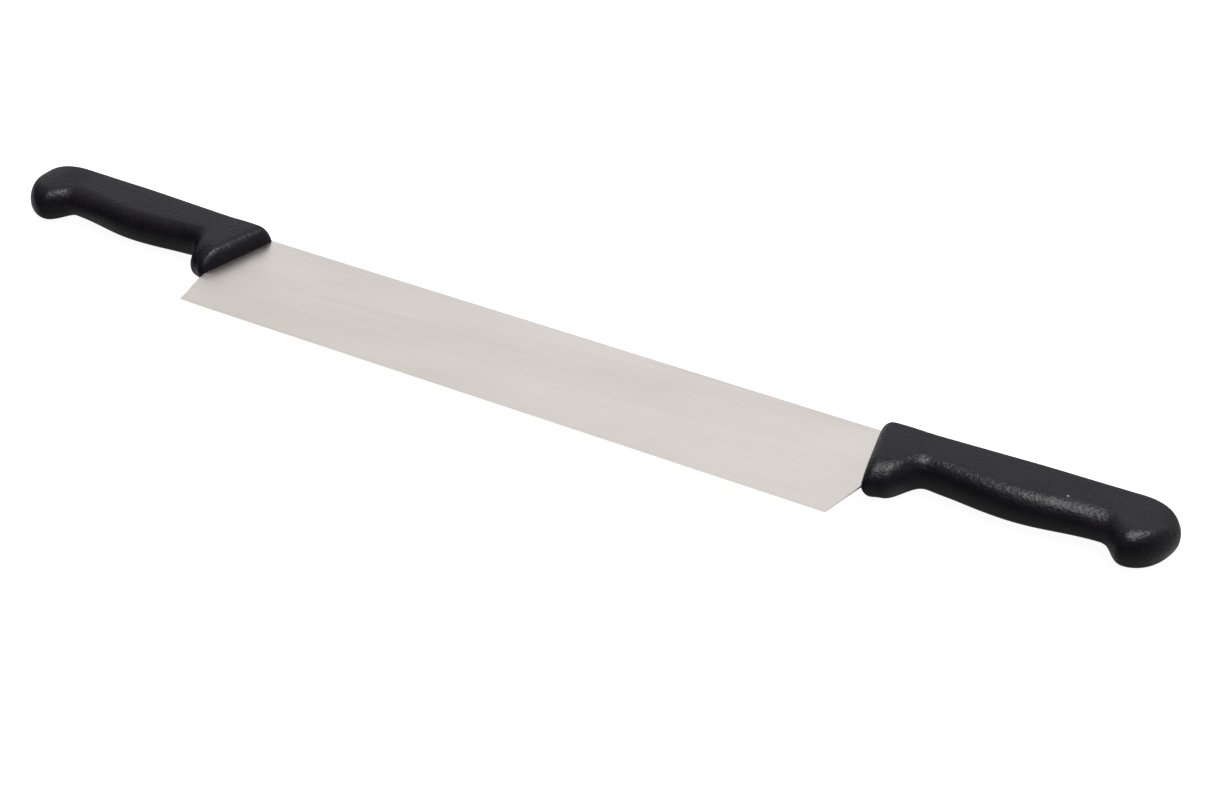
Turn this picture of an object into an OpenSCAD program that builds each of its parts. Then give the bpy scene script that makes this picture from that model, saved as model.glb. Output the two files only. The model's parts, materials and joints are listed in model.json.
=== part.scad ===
// Two-handled uncapping knife: a long ground stainless blade with a tang at
// each end, and a moulded handle on each tang. It lies on the flats of its
// handles. X runs along the knife, Y from the cutting edge to the spine and
// Z up; the origin is under the middle of the whole knife.

/* [Blade] */
// Length of the cutting edge
edge_len = 320; // [300:1:326]
// Length of bare spine between the two handles
spine_len = 310; // [300:1:316]
// Width of the blade from cutting edge to spine
blade_w = 63; // [58:0.5:66]
// Thickness at the spine
spine_t = 1.8; // [1.2:0.1:2.4]
// Thickness just behind the edge bevel
edge_t = 0.5; // [0.3:0.1:1]
// Height of the sharpened edge bevel
bevel_h = 1.4; // [0.6:0.1:3]
// Thickness left at the cutting edge itself
tip_t = 0.1; // [0.05:0.05:0.2]
// How far each end of the blade leans outward, in degrees off square
end_lean = 11.2; // [8:0.2:13]

/* [Tangs] */
// Length of each tang behind the handle's front face
tang_len = 104; // [90:1:108]
// Width of the tang at its root
tang_w = 14; // [10:0.5:15]
// Diameter of the punched holes that key the handle on
key_d = 6; // [4:0.5:8]
// Distance between the key holes
key_pitch = 30; // [22:1:32]

/* [Handles] */
// Length of the handle along its spine
handle_len = 131; // [128:1:138]
// Lean of the handle's front face, in degrees off square
front_lean = 13; // [8:0.5:15]
// How far the handle stands above the blade's spine at the front
spine_step = 1.2; // [0.6:0.1:4]
// Rise of the handle's spine towards the butt, in degrees
spine_rise = 2.4; // [0:0.1:3]
// Length of the rounding round the front face
rim_len = 6; // [3:0.5:7]
// How far that rounding draws in the spine and the belly
rim_drop = 3; // [1:0.5:4]
// How far that rounding draws in each flank
rim_side = 7; // [3:0.5:7.5]
// Thickness across the two resting flats
flat_t = 17.4; // [16:0.2:19]
// Thickness that the guard would have without its flats
guard_t = 18.2; // [18:0.2:20]
// Thickness of the grip
grip_t = 16.2; // [14:0.2:17]
// Thickness of the neck in front of the butt
neck_t = 15; // [13:0.2:17]
// Thickness that the butt would have without its flats
butt_t = 17.8; // [17.6:0.2:20]

/* [Belly line] */
// Depth of the guard below the blade's spine
guard_drop = 41.8; // [38:0.2:44]
// Length of the guard along the handle
guard_len = 10; // [8:1:14]
// Depth of the hollow behind the guard
hollow_drop = 23.4; // [22:0.2:25]
// Where the hollow behind the guard lies
hollow_at = 27; // [24:1:30]
// Depth of the swell in the palm
swell_drop = 26.6; // [25:0.2:29]
// Where the swell lies
swell_at = 66; // [58:1:72]
// Depth of the neck in front of the beak
neck_drop = 22.7; // [21.5:0.2:25]
// Where the neck lies
neck_at = 104; // [98:1:106]
// Depth of the butt's beak
beak_drop = 32; // [30:0.2:36]
// Where the beak starts to round off
beak_at = 114; // [111:1:117]

/* [Hidden] */

// Ring count and points per ring of the handle's skin
SKIN_RINGS = 44;
ARC_POINTS = 28;
RING_POINTS = 2 * ARC_POINTS;
// Rounding of the butt: lengths along the handle, and how full each curve is
BUTT_TOP_LEN = 30;
BUTT_TOP_DROP = 16.8;
BUTT_TOP_FULLNESS = 2;
BUTT_BELLY_FULLNESS = 1.82;
BUTT_FLANK_LEN = 12;
BUTT_FLANK_FULLNESS = 2.6;
// Width of the rounding from the flat flank to the spine and to the belly
SPINE_ROUND = 5;
GUARD_ROUND = 13;
GRIP_ROUND = 8;
NECK_ROUND = 11;
BUTT_ROUND = 8.5;
// The lean of the front face has died away this far down the handle
LEAN_FADE = 50;
// How far the blade runs into the handle at the guard and at the spine
CORNER_IN_GUARD = 8;
SHOULDER = 4;
// The tang's place below the spine, its root's length and its end's share of its width
TANG_SET_DOWN = 3.5;
TANG_ROOT = 24;
TANG_END_SHARE = 0.72;
KEY_COUNT = 3;

half_spine = spine_len / 2;
guard_y = blade_w - guard_drop;
butt_end_y = blade_w + spine_step + tan(spine_rise) * handle_len - BUTT_TOP_DROP;

BELLY = [
    [0, guard_y],
    [guard_len, guard_y + 3.2],
    [hollow_at, blade_w - hollow_drop],
    [swell_at, blade_w - swell_drop],
    [neck_at, blade_w - neck_drop],
    [beak_at, blade_w - beak_drop],
];
HALF_THICKNESS = [
    [0, guard_t / 2],
    [guard_len, guard_t / 2],
    [hollow_at, grip_t / 2],
    [swell_at, grip_t / 2],
    [neck_at, neck_t / 2],
    [beak_at + 5, butt_t / 2],
];

function clamp01(t) = min(max(t, 0), 1);
function ease(t) = (1 - cos(180 * clamp01(t))) / 2;

// A smooth line through [place, value] knots, level at each of them
function eased(knots, s) =
    let (last = len(knots) - 1)
    s >= knots[last][0] ? knots[last][1] :
    let (i = max([for (j = [0:last - 1]) if (knots[j][0] <= s) j]))
    let (a = knots[i], b = knots[i + 1])
    a[1] + (b[1] - a[1]) * ease((s - a[0]) / (b[0] - a[0]));

// 0 to 1 along a quarter of a superellipse, level at the start
function quarter(u, fullness) = 1 - pow(1 - pow(clamp01(u), fullness), 1 / fullness);

// The handle's outline and section at a distance s behind its front face
function plain_spine(s) = blade_w + spine_step + tan(spine_rise) * s;
function spine_y(s) =
    let (u = (s - handle_len + BUTT_TOP_LEN) / BUTT_TOP_LEN)
    plain_spine(s) - (plain_spine(s) - butt_end_y) * quarter(u, BUTT_TOP_FULLNESS);
function belly_y(s) =
    let (u = (s - beak_at) / (handle_len - beak_at), y = eased(BELLY, s))
    y + (butt_end_y - y) * quarter(u, BUTT_BELLY_FULLNESS);
function half_thickness(s) =
    let (u = (s - handle_len + BUTT_FLANK_LEN) / BUTT_FLANK_LEN)
    eased(HALF_THICKNESS, s) * (1 - quarter(u, BUTT_FLANK_FULLNESS));
function belly_round(s) =
    lookup(s, [
        [0, GUARD_ROUND],
        [guard_len, GUARD_ROUND],
        [handle_len / 4, GRIP_ROUND],
        [handle_len * 0.8, NECK_ROUND],
        [handle_len, BUTT_ROUND],
    ]);
// How far the front face has rounded in: 1 at the face itself, 0 behind the rim
function rim(s) = quarter(1 - s / rim_len, 2);
function lean_x(s, y) = tan(front_lean) * clamp01(1 - s / LEAN_FADE) * (blade_w - y);

// One section: a half ellipse over the spine, one under the belly and flat flanks between
function ring(s) =
    let (
        top = spine_y(s) - rim_drop * rim(s),
        bottom = belly_y(s) + rim_drop * rim(s),
        half_t = half_thickness(s) - rim_side * rim(s),
        fit = min(1, (top - bottom) / (SPINE_ROUND + belly_round(s)))
    )
    [
        for (side = [1, -1], i = [0:ARC_POINTS - 1])
        let (
            a = 180 * i / (ARC_POINTS - 1) - 90,
            depth = fit * (side > 0 ? SPINE_ROUND : belly_round(s)),
            edge = side > 0 ? top - depth : bottom + depth,
            y = edge + side * depth * cos(a)
        )
        [half_spine + s + lean_x(s, y), y, side * half_t * sin(a)]
    ];

// Rings lie closer together round the rim and towards the butt's end
STATIONS = concat(
    [for (i = [0:5]) rim_len * (1 - cos(15 * i))],
    [for (i = [0:SKIN_RINGS - 17]) rim_len + (handle_len * 0.8 - rim_len) * i / (SKIN_RINGS - 17)],
    [for (i = [1:11]) handle_len * (0.8 + 0.2 * sin(90 * i / 12))]
);
TOP_Y = max([for (s = STATIONS) spine_y(s)]);

module place() {
    translate([0, -TOP_Y / 2, flat_t / 2])
        children();
}

module skin() {
    rings = len(STATIONS);
    pole = rings * RING_POINTS;
    points = concat(
        [for (s = STATIONS) each ring(s)],
        [[half_spine + handle_len, butt_end_y, 0]]
    );
    sides = [
        for (r = [0:rings - 2], i = [0:RING_POINTS - 1])
        let (
            j = (i + 1) % RING_POINTS,
            a = r * RING_POINTS + i,
            b = r * RING_POINTS + j,
            c = a + RING_POINTS,
            d = b + RING_POINTS
        )
        each [[a, c, b], [b, c, d]]
    ];
    front = [[for (i = [0:RING_POINTS - 1]) i]];
    butt = [
        for (i = [0:RING_POINTS - 1])
        let (base = (rings - 1) * RING_POINTS)
        [base + i, pole, base + (i + 1) % RING_POINTS]
    ];
    polyhedron(points, concat(sides, front, butt));
}

// A flat outline made into a plate thick enough to be ground down
module plate() {
    translate([0, 0, -spine_t])
        linear_extrude(2 * spine_t)
            children();
}

// One tang, from inside the blade to its rounded end, with its key holes
module tang() {
    mid_y = blade_w - TANG_SET_DOWN - tang_w / 2;
    end_r = tang_w * TANG_END_SHARE / 2;
    end_x = half_spine + tang_len - end_r;
    difference() {
        union() {
            plate()
                polygon([
                    [half_spine - TANG_ROOT, mid_y + tang_w / 2],
                    [end_x, mid_y + end_r],
                    [end_x, mid_y - end_r],
                    [half_spine + TANG_ROOT, mid_y - tang_w / 2],
                    [half_spine - TANG_ROOT, mid_y - tang_w / 2],
                ]);
            translate([end_x, mid_y, 0])
                cylinder(r = end_r, h = 2 * spine_t, center = true, $fn = 48);
        }
        for (i = [0:KEY_COUNT - 1])
            translate([half_spine + TANG_ROOT + i * key_pitch, mid_y, 0])
                cylinder(d = key_d, h = 4 * spine_t, center = true, $fn = 48);
    }
}

// The blade and its two tangs, flat-ground from spine to edge
module blade_solid() {
    corner_y = guard_y + CORNER_IN_GUARD;
    corner_x = edge_len / 2 + tan(end_lean) * corner_y;
    shoulder_x = half_spine + SHOULDER;
    reach = half_spine + tang_len + 1;
    intersection() {
        union() {
            plate()
                polygon([
                    [-edge_len / 2, 0],
                    [edge_len / 2, 0],
                    [corner_x, corner_y],
                    [shoulder_x, blade_w],
                    [-shoulder_x, blade_w],
                    [-corner_x, corner_y],
                ]);
            for (side = [0, 1])
                mirror([side, 0, 0])
                    tang();
        }
        translate([-reach, 0, 0])
            rotate([90, 0, 90])
                linear_extrude(2 * reach)
                    polygon([
                        [0, -tip_t / 2],
                        [bevel_h, -edge_t / 2],
                        [blade_w, -spine_t / 2],
                        [blade_w, spine_t / 2],
                        [bevel_h, edge_t / 2],
                        [0, tip_t / 2],
                    ]);
    }
}

// A handle moulded round the tang, so its plastic also fills the key holes
module handle_solid() {
    difference() {
        intersection() {
            skin();
            translate([half_spine - 1, 0, -flat_t / 2])
                cube([handle_len + 20, 2 * blade_w, flat_t]);
        }
        blade_solid();
    }
}

module blade() {
    color([0.83, 0.79, 0.77])
        place()
            blade_solid();
}

module right_handle() {
    color([0.13, 0.13, 0.14])
        place()
            handle_solid();
}

module left_handle() {
    color([0.13, 0.13, 0.14])
        place()
            mirror([1, 0, 0])
                handle_solid();
}

blade();
left_handle();
right_handle();
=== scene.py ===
# Two-handled uncapping knife, lying on the flat sides of its handles.
import json
import math

import bmesh
import bpy
from mathutils import Matrix, Vector

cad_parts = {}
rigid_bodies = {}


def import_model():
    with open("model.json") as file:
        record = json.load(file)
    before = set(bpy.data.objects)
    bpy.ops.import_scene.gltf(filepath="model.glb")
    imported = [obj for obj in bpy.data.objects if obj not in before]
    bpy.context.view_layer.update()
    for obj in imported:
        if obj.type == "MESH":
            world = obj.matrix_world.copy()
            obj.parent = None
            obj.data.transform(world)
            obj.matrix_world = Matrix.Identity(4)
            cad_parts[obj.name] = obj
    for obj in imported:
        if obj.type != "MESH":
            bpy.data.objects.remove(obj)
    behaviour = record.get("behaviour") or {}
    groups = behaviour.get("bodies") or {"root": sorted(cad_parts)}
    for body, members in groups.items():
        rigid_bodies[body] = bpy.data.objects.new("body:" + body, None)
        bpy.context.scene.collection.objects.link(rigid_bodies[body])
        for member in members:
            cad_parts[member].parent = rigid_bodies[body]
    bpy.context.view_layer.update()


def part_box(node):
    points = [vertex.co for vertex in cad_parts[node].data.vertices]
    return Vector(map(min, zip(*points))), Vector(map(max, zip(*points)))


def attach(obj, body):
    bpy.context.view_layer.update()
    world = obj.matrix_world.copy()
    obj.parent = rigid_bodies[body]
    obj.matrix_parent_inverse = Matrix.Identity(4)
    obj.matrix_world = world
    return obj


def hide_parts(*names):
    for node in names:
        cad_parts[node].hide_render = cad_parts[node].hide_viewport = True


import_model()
MM = 0.001


# ---- Camera ----------------------------------------------------------------
# A long lens, above the cutting edge and round to the right, so that the
# right handle is the nearer one.
AZIMUTH = math.radians(30.28)
ELEVATION = math.radians(32.86)
ROLL = math.radians(0.34)
DISTANCE = 1.0351
AIM = Vector((47.5, -11.1, 8.7)) * MM

back = Vector((
    math.sin(AZIMUTH) * math.cos(ELEVATION),
    -math.cos(AZIMUTH) * math.cos(ELEVATION),
    math.sin(ELEVATION),
))
camera_data = bpy.data.cameras.new("camera")
camera_data.sensor_width = 36.0
camera_data.lens = 73.57
camera = bpy.data.objects.new("camera", camera_data)
bpy.context.scene.collection.objects.link(camera)
facing = back.to_track_quat("Z", "Y").to_matrix().to_4x4()
roll = Matrix.Rotation(ROLL, 4, "Z")
camera.matrix_world = Matrix.Translation(AIM + back * DISTANCE) @ facing @ roll
bpy.context.scene.camera = camera


# ---- Blade -----------------------------------------------------------------
# One plate of stainless knife steel, stamped with a tang at each end, then
# ground thinner from spine to edge on a belt and given a narrow bevel. The
# belt leaves a satin of long fine streaks. The tangs are keyed into the handles.
low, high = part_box("blade")
EDGE_Y = low.y
SPINE_Y = high.y
MID_Z = (low.z + high.z) / 2
SPINE_HALF_T = (high.z - low.z) / 2
TANG_END_X = high.x
EDGE_END_X = 160 * MM
CORNER_X = 165.78 * MM
CORNER_Y = EDGE_Y + 29.2 * MM
SHOULDER_X = 159 * MM
BEVEL_Y = EDGE_Y + 1.4 * MM
BEVEL_HALF_T = 0.25 * MM
TIP_HALF_T = 0.05 * MM
TANG_TOP = SPINE_Y - 3.5 * MM
TANG_BOTTOM = TANG_TOP - 14 * MM
TANG_ROOT_X = 179 * MM
TANG_STEP = 10 * MM
TANG_END_R = 5.04 * MM
KEY_R = 3 * MM
KEY_Y = (TANG_TOP + TANG_BOTTOM) / 2
KEY_XS = [TANG_ROOT_X + row * 30 * MM for row in range(3)]
EASE = 0.12 * MM


def pick(test, kind="VERT", among_picked=False):
    """Selects the vertices, edges or faces whose middle passes the test."""
    mesh = bmesh.from_edit_mesh(bpy.context.object.data)
    parts = {"VERT": mesh.verts, "EDGE": mesh.edges, "FACE": mesh.faces}[kind]
    wanted = [part.index for part in parts if part.select or not among_picked]
    bpy.ops.mesh.select_mode(type=kind)
    bpy.ops.mesh.select_all(action="DESELECT")
    parts.ensure_lookup_table()
    for index in wanted:
        part = parts[index]
        if kind == "VERT":
            middle = part.co
        elif kind == "EDGE":
            middle = (part.verts[0].co + part.verts[1].co) / 2
        else:
            middle = part.calc_center_median()
        part.select_set(test(middle))
    mesh.select_flush_mode()
    bmesh.update_edit_mesh(bpy.context.object.data)


def at(a, b):
    """True where two places are the same, give or take a hundredth of a millimetre."""
    return abs(a - b) < 0.01 * MM


def apply_modifier(piece, kind, **settings):
    """Adds a modifier with its settings to a piece and applies it."""
    modifier = piece.modifiers.new(kind.lower(), kind)
    for key, value in settings.items():
        setattr(modifier, key, value)
    bpy.context.view_layer.objects.active = piece
    bpy.ops.object.modifier_apply(modifier=modifier.name)


# The right half, from a box cut into rows along the blade
bpy.ops.object.select_all(action="DESELECT")
bpy.ops.mesh.primitive_cube_add(size=1, location=(SHOULDER_X / 2, (EDGE_Y + SPINE_Y) / 2, MID_Z))
blade = bpy.context.object
blade.name = blade.data.name = "steel_blade"
blade.scale = (SHOULDER_X, SPINE_Y - EDGE_Y, 2 * SPINE_HALF_T)
bpy.ops.object.transform_apply(location=True, rotation=True, scale=True)
bpy.ops.object.mode_set(mode="EDIT")
rows = [BEVEL_Y, CORNER_Y, TANG_BOTTOM, TANG_TOP]
for y in rows:
    bpy.ops.mesh.select_all(action="SELECT")
    bpy.ops.mesh.bisect(plane_co=(0, y, 0), plane_no=(0, 1, 0))
# Each row's end moves out to the slanted ends, and its thickness down to the wedge
for y in [EDGE_Y, *rows, SPINE_Y]:
    if y <= CORNER_Y:
        end_x = EDGE_END_X + (CORNER_X - EDGE_END_X) * (y - EDGE_Y) / (CORNER_Y - EDGE_Y)
    else:
        end_x = CORNER_X + (SHOULDER_X - CORNER_X) * (y - CORNER_Y) / (SPINE_Y - CORNER_Y)
    if y < BEVEL_Y:
        half_t = TIP_HALF_T
    else:
        half_t = BEVEL_HALF_T + (SPINE_HALF_T - BEVEL_HALF_T) * (y - BEVEL_Y) / (SPINE_Y - BEVEL_Y)
    pick(lambda p: at(p.y, y) and p.x > SHOULDER_X / 2)
    bpy.ops.transform.translate(value=(end_x - SHOULDER_X, 0, 0))
    pick(lambda p: at(p.y, y))
    bpy.ops.transform.resize(value=(1, 1, half_t / SPINE_HALF_T), center_override=(0, 0, MID_Z))
# The tang is drawn out of the end, squared off at its root, then narrowed from below
pick(lambda p: p.x > SHOULDER_X and TANG_BOTTOM < p.y < TANG_TOP and at(p.z, MID_Z), "FACE")
bpy.ops.mesh.extrude_region_move(TRANSFORM_OT_translate={"value": (TANG_STEP, 0, 0)})
bpy.ops.transform.resize(value=(0, 1, 1), center_override=(TANG_ROOT_X, 0, 0))
bpy.ops.mesh.extrude_region_move(
    TRANSFORM_OT_translate={"value": (TANG_END_X - TANG_END_R - TANG_ROOT_X, 0, 0)})
bpy.ops.transform.resize(
    value=(1, 2 * TANG_END_R / (TANG_TOP - TANG_BOTTOM), 1), center_override=(0, TANG_TOP, 0))
bpy.ops.mesh.extrude_region_move(TRANSFORM_OT_translate={"value": (TANG_END_R, 0, 0)})
pick(lambda p: at(p.x, TANG_END_X) and at(p.z, MID_Z), "EDGE")
bpy.ops.mesh.bevel(offset=TANG_END_R * 0.98, segments=10, affect="EDGES")
# The other half is its mirror image
pick(lambda p: at(p.x, 0), "FACE")
bpy.ops.mesh.delete(type="FACE")
bpy.ops.object.mode_set(mode="OBJECT")
apply_modifier(blade, "MIRROR", use_axis=(True, False, False))

# Three round key holes through each tang
bpy.ops.object.select_all(action="DESELECT")
bpy.ops.mesh.primitive_cylinder_add(
    vertices=32, radius=KEY_R, depth=10 * MM, location=(-KEY_XS[0], KEY_Y, MID_Z))
punch = bpy.context.object
bpy.ops.object.transform_apply(location=True, rotation=True, scale=True)
bpy.ops.object.mode_set(mode="EDIT")
for x in [-KEY_XS[1], -KEY_XS[2], *KEY_XS]:
    bpy.ops.mesh.primitive_cylinder_add(
        vertices=32, radius=KEY_R, depth=10 * MM, location=(x, KEY_Y, MID_Z))
bpy.ops.object.mode_set(mode="OBJECT")
apply_modifier(blade, "BOOLEAN", object=punch, operation="DIFFERENCE", solver="EXACT")
bpy.data.objects.remove(punch)

# Tumbling after stamping takes the sharpness off every edge but the cutting edge
bpy.ops.object.mode_set(mode="EDIT")
bpy.ops.mesh.select_mode(type="FACE")
bpy.ops.mesh.select_all(action="DESELECT")
mesh = bmesh.from_edit_mesh(blade.data)
for face in mesh.faces:
    face.select_set(abs(face.normal.z) > 0.9)
bmesh.update_edit_mesh(blade.data)
bpy.ops.mesh.region_to_loop()
pick(lambda p: p.y > BEVEL_Y + 0.1 * MM, "EDGE", among_picked=True)
bpy.ops.mesh.bevel(offset=EASE, segments=2, affect="EDGES")
bpy.ops.mesh.select_all(action="SELECT")
bpy.ops.mesh.remove_doubles(threshold=0.001 * MM)
bpy.ops.mesh.normals_make_consistent(inside=False)
bpy.ops.object.mode_set(mode="OBJECT")
bpy.ops.object.shade_smooth_by_angle(angle=math.radians(25))


def linear(hex_colour):
    """An sRGB hex colour as the linear RGBA that the shaders take."""
    channels = [int(hex_colour[i:i + 2], 16) / 255 for i in (1, 3, 5)]
    return [c / 12.92 if c <= 0.04045 else ((c + 0.055) / 1.055) ** 2.4 for c in channels] + [1.0]


def add_node(tree, kind, inputs, **settings):
    """Adds a node with its settings; an input is either a value or the output that feeds it."""
    node = tree.nodes.new(kind)
    for key, value in settings.items():
        setattr(node, key, value)
    for key, value in inputs.items():
        if isinstance(value, bpy.types.NodeSocket):
            tree.links.new(value, node.inputs[key])
        else:
            node.inputs[key].default_value = value
    return node


def new_material(name):
    """An empty material's tree and its shader, already joined to the output."""
    material = bpy.data.materials.new(name)
    material.use_nodes = True
    tree = material.node_tree
    tree.nodes.clear()
    shader = tree.nodes.new("ShaderNodeBsdfPrincipled")
    add_node(tree, "ShaderNodeOutputMaterial", {"Surface": shader.outputs[0]})
    return material, tree, shader


# Stainless steel, belt-ground to a satin: a warm light grey that mirrors the
# studio softly, with faint long streaks of slightly different tone and gloss.
STREAK_TURN = math.radians(4)
steel, tree, shader = new_material("stainless_steel_belt_ground")
place = add_node(tree, "ShaderNodeTexCoord", {}).outputs["Object"]


def streaks(length, width, detail):
    """Noise drawn out along the blade, of the given streak size in metres."""
    stretched = add_node(
        tree, "ShaderNodeMapping",
        {"Vector": place, "Rotation": (0, 0, STREAK_TURN), "Scale": (length, width, width)},
        vector_type="TEXTURE")
    return add_node(
        tree, "ShaderNodeTexNoise",
        {"Vector": stretched.outputs[0], "Scale": 1.0, "Detail": detail, "Roughness": 0.6}).outputs["Fac"]


fine = streaks(45 * MM, 0.35 * MM, 3.0)
broad = streaks(160 * MM, 2.2 * MM, 2.0)
cloud = streaks(90 * MM, 30 * MM, 2.0)
lines = add_node(tree, "ShaderNodeMix", {0: 0.7, 2: broad, 3: fine}, data_type="FLOAT").outputs[0]
tone = add_node(tree, "ShaderNodeMix", {0: 0.5, 2: lines, 3: cloud}, data_type="FLOAT").outputs[0]
colour = add_node(tree, "ShaderNodeValToRGB", {"Fac": tone})
colour.color_ramp.elements[0].position = 0.38
colour.color_ramp.elements[0].color = linear("#CFC8C3")
colour.color_ramp.elements[1].position = 0.62
colour.color_ramp.elements[1].color = linear("#D8D2CE")
gloss = add_node(
    tree, "ShaderNodeMapRange",
    {"Value": lines, "From Min": 0.3, "From Max": 0.7, "To Min": 0.36, "To Max": 0.3})
scratch = add_node(tree, "ShaderNodeBump", {"Height": fine, "Strength": 0.5, "Distance": 0.002 * MM})
tree.links.new(colour.outputs[0], shader.inputs["Base Color"])
tree.links.new(gloss.outputs[0], shader.inputs["Roughness"])
tree.links.new(scratch.outputs[0], shader.inputs["Normal"])
shader.inputs["Metallic"].default_value = 1.0
blade.data.materials.clear()
blade.data.materials.append(steel)

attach(blade, "root")
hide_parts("blade")


# ---- Handles ---------------------------------------------------------------
# Two alike handles of black polypropylene, moulded straight onto the tangs.
# Each has a flat flank, a straight spine, a guard behind the blade, a hollow
# for the first finger, a swell for the palm and a beaked butt. All sizes in
# this section are in millimetres, measured back from where the front face
# meets the blade's spine and up from the cutting edge.
FRONT_X = 155.0
LENGTH = 131.0
FRONT_LEAN = math.tan(math.radians(13))
LEAN_FADE = 50.0
BLADE_W = 63.0
RIM_LEN = 6.0
RIM_DROP = 3.0
RIM_SIDE = 7.0
SPINE_STEP = 1.2
SPINE_RISE = math.tan(math.radians(2.4))
BUTT_Y = 52.89
BUTT_TOP_LEN = 30.0
BUTT_BELLY_LEN = 17.0
BUTT_FLANK_LEN = 12.0
# How full each of those three roundings is: 2 is a quarter of an ellipse
BUTT_TOP_FULLNESS = 2.0
BUTT_BELLY_FULLNESS = 1.82
BUTT_FLANK_FULLNESS = 2.6
SPINE_ROUND = 5.0
# Height of the belly line at the guard's front and back, the hollow, the palm
# swell, the neck and the beak
BELLY = [(0, 21.2), (10, 24.4), (27, 39.6), (66, 36.4), (104, 40.3), (114, 31.0)]
# Half the thickness there; the guard and the butt carry the resting flats
HALF_T = [(0, 8.7), (10, 8.7), (27, 8.1), (66, 8.1), (104, 7.5), (119, 8.7)]
# How far up from the belly the flanks start to round off
BELLY_ROUND = [(0, 13.0), (10, 13.0), (32.75, 8.0), (104.8, 11.0), (131, 8.5)]
RING_POINTS = 50
RING_STEP = 2.5


def eased(knots, s, smooth=True):
    """The value at s on a line through the knots, level at each knot if smooth."""
    for (s0, v0), (s1, v1) in zip(knots, knots[1:]):
        if s < s1:
            t = max(0.0, (s - s0) / (s1 - s0))
            if smooth:
                t = (1 - math.cos(math.pi * t)) / 2
            return v0 + (v1 - v0) * t
    return knots[-1][1]


def rounding(start, length, s, fullness):
    """How far an end has rounded off at s: 0 at its start, 1 at its tip."""
    u = min(1.0, max(0.0, (s - start) / length))
    return 1 - (1 - u ** fullness) ** (1 / fullness)


def section(s):
    """Top, bottom, half thickness and the depths of the two roundings at s."""
    top = BLADE_W + SPINE_STEP + SPINE_RISE * s
    top -= (top - BUTT_Y) * rounding(LENGTH - BUTT_TOP_LEN, BUTT_TOP_LEN, s, BUTT_TOP_FULLNESS)
    bottom = eased(BELLY, s)
    belly_end = rounding(LENGTH - BUTT_BELLY_LEN, BUTT_BELLY_LEN, s, BUTT_BELLY_FULLNESS)
    bottom += (BUTT_Y - bottom) * belly_end
    flank_end = rounding(LENGTH - BUTT_FLANK_LEN, BUTT_FLANK_LEN, s, BUTT_FLANK_FULLNESS)
    half_t = eased(HALF_T, s) * (1 - flank_end)
    rim = rounding(0, RIM_LEN, RIM_LEN - s, 2)
    top, bottom, half_t = top - RIM_DROP * rim, bottom + RIM_DROP * rim, half_t - RIM_SIDE * rim
    depth = eased(BELLY_ROUND, s, smooth=False)
    fit = min(1.0, (top - bottom) / (SPINE_ROUND + depth))
    return top, bottom, half_t, SPINE_ROUND * fit, depth * fit


def add_ring(s):
    """Adds one ring round the handle: two half ellipses, top and bottom, joined by flat flanks."""
    top, bottom, half_t, top_depth, bottom_depth = section(s)
    centre = ((FRONT_X + s) * MM, EDGE_Y + (bottom + bottom_depth) * MM, MID_Z)
    bpy.ops.mesh.primitive_circle_add(
        vertices=RING_POINTS, radius=MM, location=centre, rotation=(0, math.pi / 2, 0))
    bpy.ops.transform.resize(value=(1, bottom_depth, half_t), center_override=centre)
    pick(lambda p: p.y > centre[1], among_picked=True)
    bpy.ops.transform.resize(value=(1, top_depth / bottom_depth, 1), center_override=centre)
    bpy.ops.transform.translate(value=(0, (top - top_depth - bottom - bottom_depth) * MM, 0))
    # The rings near the front lean with the front face, as a slanted cut would
    lean = math.atan(FRONT_LEAN * max(0, 1 - s / LEAN_FADE))
    pivot = (centre[0], SPINE_Y, MID_Z)
    bpy.ops.mesh.select_linked()
    bpy.ops.transform.resize(value=(1, 1 / math.cos(lean), 1), center_override=pivot)
    bpy.ops.transform.rotate(value=-lean, orient_axis="Z", center_override=pivot)


# Rings crowd together round the rim and round the butt, and are even between
rim_stops = [RIM_LEN * (1 - math.cos(math.radians(turn))) for turn in range(0, 90, 15)]
butt_stops = [LENGTH - BUTT_FLANK_LEN * (1 - math.sin(math.radians(turn))) for turn in range(0, 85, 12)]
even = round((butt_stops[0] - RIM_LEN) / RING_STEP)
even_stops = [RIM_LEN + (butt_stops[0] - RIM_LEN) * step / even for step in range(even)]

bpy.ops.object.select_all(action="DESELECT")
bpy.ops.mesh.primitive_circle_add(vertices=3, radius=MM)
handle = bpy.context.object
handle.name = handle.data.name = "right_grip"
bpy.ops.object.mode_set(mode="EDIT")
bpy.ops.mesh.delete(type="VERT")
for stop in rim_stops + even_stops + butt_stops:
    add_ring(stop)
bpy.ops.mesh.select_all(action="SELECT")
bpy.ops.mesh.bridge_edge_loops()
# The front ring closes flat; the last ring is drawn out to the tip of the butt
bpy.ops.mesh.select_all(action="SELECT")
bpy.ops.mesh.region_to_loop()
bpy.ops.mesh.edge_face_add()
pick(lambda p: p.x > (FRONT_X + butt_stops[-1] - 0.01) * MM, "FACE")
bpy.ops.mesh.extrude_region_move(TRANSFORM_OT_translate={"value": ((LENGTH - butt_stops[-1]) * MM, 0, 0)})
bpy.ops.mesh.merge(type="CENTER")
bpy.ops.mesh.select_all(action="SELECT")
bpy.ops.mesh.normals_make_consistent(inside=False)
bpy.ops.object.mode_set(mode="OBJECT")
apply_modifier(handle, "SUBSURF", levels=2, render_levels=2)

# The blade and its tang leave their own shape in the moulding
apply_modifier(handle, "BOOLEAN", object=blade, operation="DIFFERENCE", solver="EXACT")
bpy.ops.object.shade_smooth_by_angle(angle=math.radians(35))

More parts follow.
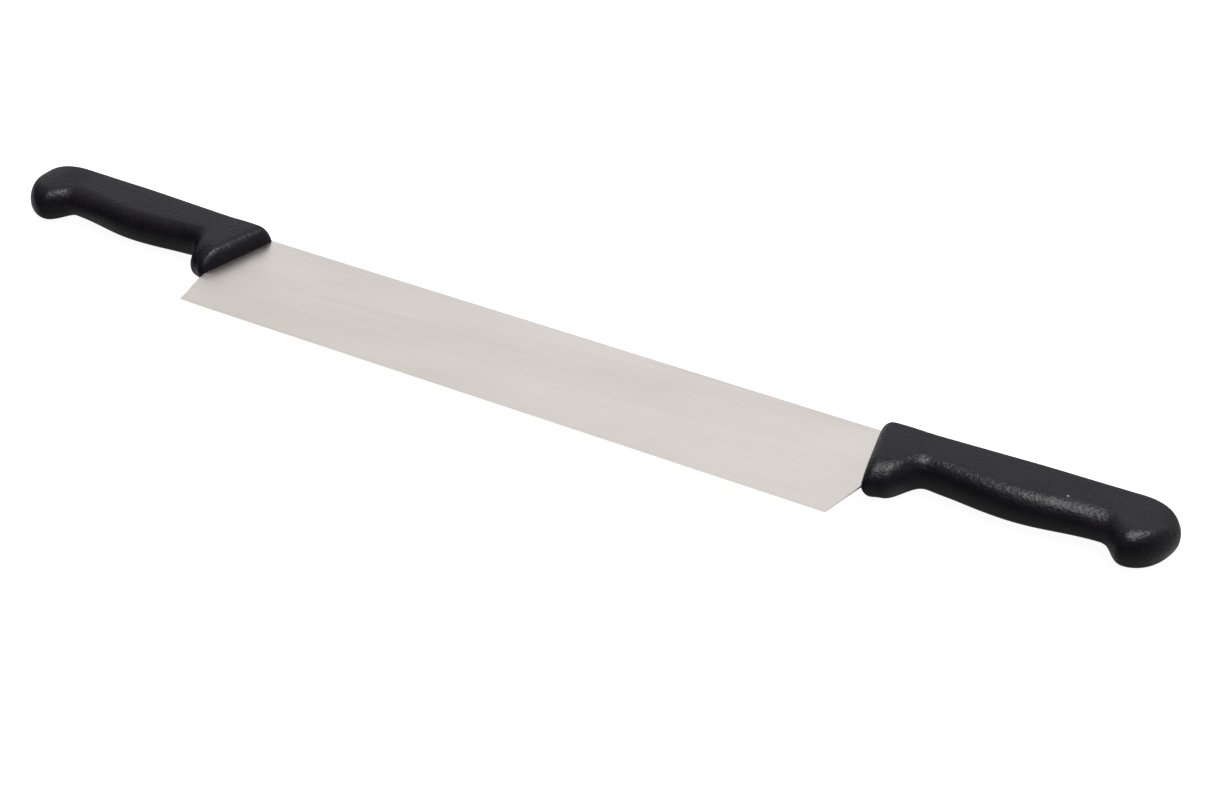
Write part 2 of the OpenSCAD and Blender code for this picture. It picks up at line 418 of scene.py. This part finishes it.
# The left handle is the same moulding turned round
left = handle.copy()
left.data = handle.data.copy()
left.name = left.data.name = "left_grip"
bpy.context.scene.collection.objects.link(left)
bpy.ops.object.select_all(action="DESELECT")
left.select_set(True)
bpy.context.view_layer.objects.active = left
left.scale.x = -1
bpy.ops.object.transform_apply(location=True, rotation=True, scale=True)
bpy.ops.object.mode_set(mode="EDIT")
bpy.ops.mesh.select_all(action="SELECT")
bpy.ops.mesh.normals_make_consistent(inside=False)
bpy.ops.object.mode_set(mode="OBJECT")

# Black polypropylene from a spark-eroded mould: a dark, slightly violet black
# with a soft sheen, broken up by a leathery grain, and a few pale nicks from use.
plastic, tree, shader = new_material("black_polypropylene_moulded")
place = add_node(tree, "ShaderNodeTexCoord", {}).outputs["Object"]
grain = add_node(
    tree, "ShaderNodeTexNoise",
    {"Vector": place, "Scale": 1 / (1.3 * MM), "Detail": 3.0, "Roughness": 0.6})
pores = add_node(
    tree, "ShaderNodeTexVoronoi",
    {"Vector": place, "Scale": 1 / (2.2 * MM)}, feature="SMOOTH_F1")
relief = add_node(
    tree, "ShaderNodeMix",
    {0: 0.35, 2: grain.outputs["Fac"], 3: pores.outputs["Distance"]}, data_type="FLOAT")
mottle = add_node(
    tree, "ShaderNodeTexNoise",
    {"Vector": place, "Scale": 1 / (14 * MM), "Detail": 4.0, "Roughness": 0.6})
colour = add_node(tree, "ShaderNodeValToRGB", {"Fac": mottle.outputs["Fac"]})
colour.color_ramp.elements[0].position = 0.35
colour.color_ramp.elements[0].color = linear("#08070B")
colour.color_ramp.elements[1].position = 0.65
colour.color_ramp.elements[1].color = linear("#0C0A10")
gloss = add_node(
    tree, "ShaderNodeMapRange",
    {"Value": mottle.outputs["Fac"], "From Min": 0.35, "From Max": 0.65, "To Min": 0.34, "To Max": 0.42})
dents = add_node(
    tree, "ShaderNodeBump",
    {"Height": relief.outputs[0], "Strength": 1.0, "Distance": 0.4 * MM})
# One nick in every 15 mm or so, about half a millimetre across
nicks = add_node(tree, "ShaderNodeTexVoronoi", {"Vector": place, "Scale": 1 / (15 * MM)})
speck = add_node(
    tree, "ShaderNodeMapRange",
    {"Value": nicks.outputs["Distance"], "From Min": 0.02, "From Max": 0.035, "To Min": 1.0, "To Max": 0.0})
worn = add_node(
    tree, "ShaderNodeMix",
    {0: speck.outputs[0], 6: colour.outputs[0], 7: linear("#77777A")}, data_type="RGBA")
tree.links.new(worn.outputs[2], shader.inputs["Base Color"])
tree.links.new(gloss.outputs[0], shader.inputs["Roughness"])
tree.links.new(dents.outputs[0], shader.inputs["Normal"])
shader.inputs["IOR"].default_value = 1.49
shader.inputs["Specular IOR Level"].default_value = 0.11

for piece, node in ((handle, "right_handle"), (left, "left_handle")):
    piece.data.materials.clear()
    piece.data.materials.append(plastic)
    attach(piece, "root")
    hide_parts(node)


# ---- Floor and light -------------------------------------------------------
# A white table under a bright ceiling, with the room darker in front of the
# object and a soft key overhead. The table shows white to the camera but gives
# off less light than that, which keeps the undersides dark.
bpy.ops.object.select_all(action="DESELECT")
bpy.ops.mesh.primitive_plane_add(size=12, location=(0, 0, 0))
floor = bpy.context.object
floor.name = "floor"
paper, tree, shader = new_material("white_table")
shader.inputs["Base Color"].default_value = linear("#8A8A8A")
shader.inputs["Roughness"].default_value = 0.9
shader.inputs["Specular IOR Level"].default_value = 0.0
shader.inputs["Emission Color"].default_value = linear("#FFFFFF")
seen = add_node(tree, "ShaderNodeLightPath", {}).outputs["Is Camera Ray"]
light = add_node(tree, "ShaderNodeMapRange", {"Value": seen, "To Min": 0.25, "To Max": 0.95})
tree.links.new(light.outputs[0], shader.inputs["Emission Strength"])
floor.data.materials.append(paper)

world = bpy.data.worlds.new("studio")
bpy.context.scene.world = world
world.use_nodes = True
tree = world.node_tree
tree.nodes.clear()
direction = add_node(tree, "ShaderNodeTexCoord", {}).outputs["Generated"]
height = add_node(
    tree, "ShaderNodeVectorMath",
    {0: direction, 1: (0.2, 0.75, 0.65)}, operation="DOT_PRODUCT")
glow = add_node(tree, "ShaderNodeValToRGB", {"Fac": height.outputs["Value"]})
glow.color_ramp.elements[0].position = 0.0
glow.color_ramp.elements[0].color = linear("#5A5A5A")
glow.color_ramp.elements[1].position = 0.7
glow.color_ramp.elements[1].color = linear("#FFFFFF")
sky = add_node(tree, "ShaderNodeBackground", {"Color": glow.outputs[0], "Strength": 1.05})
add_node(tree, "ShaderNodeOutputWorld", {"Surface": sky.outputs[0]})

key_data = bpy.data.lights.new("key_softbox", "AREA")
key_data.size = 0.3
key_data.energy = 48
key = bpy.data.objects.new("key_softbox", key_data)
bpy.context.scene.collection.objects.link(key)
KEY_DIRECTION = Vector((0.19, 0.12, 0.98)).normalized()
KEY_DISTANCE = 1.5
key.location = KEY_DIRECTION * KEY_DISTANCE
key.rotation_euler = KEY_DIRECTION.to_track_quat("Z", "Y").to_euler()
# The key is flagged off the steel, which would glare in it from above
lit_by_key = bpy.data.collections.new("lit_by_key")
for piece in (handle, left, floor):
    lit_by_key.objects.link(piece)
key.light_linking.receiver_collection = lit_by_key

bpy.context.scene.view_settings.view_transform = "Standard"


bpy.ops.object.select_all(action="DESELECT")
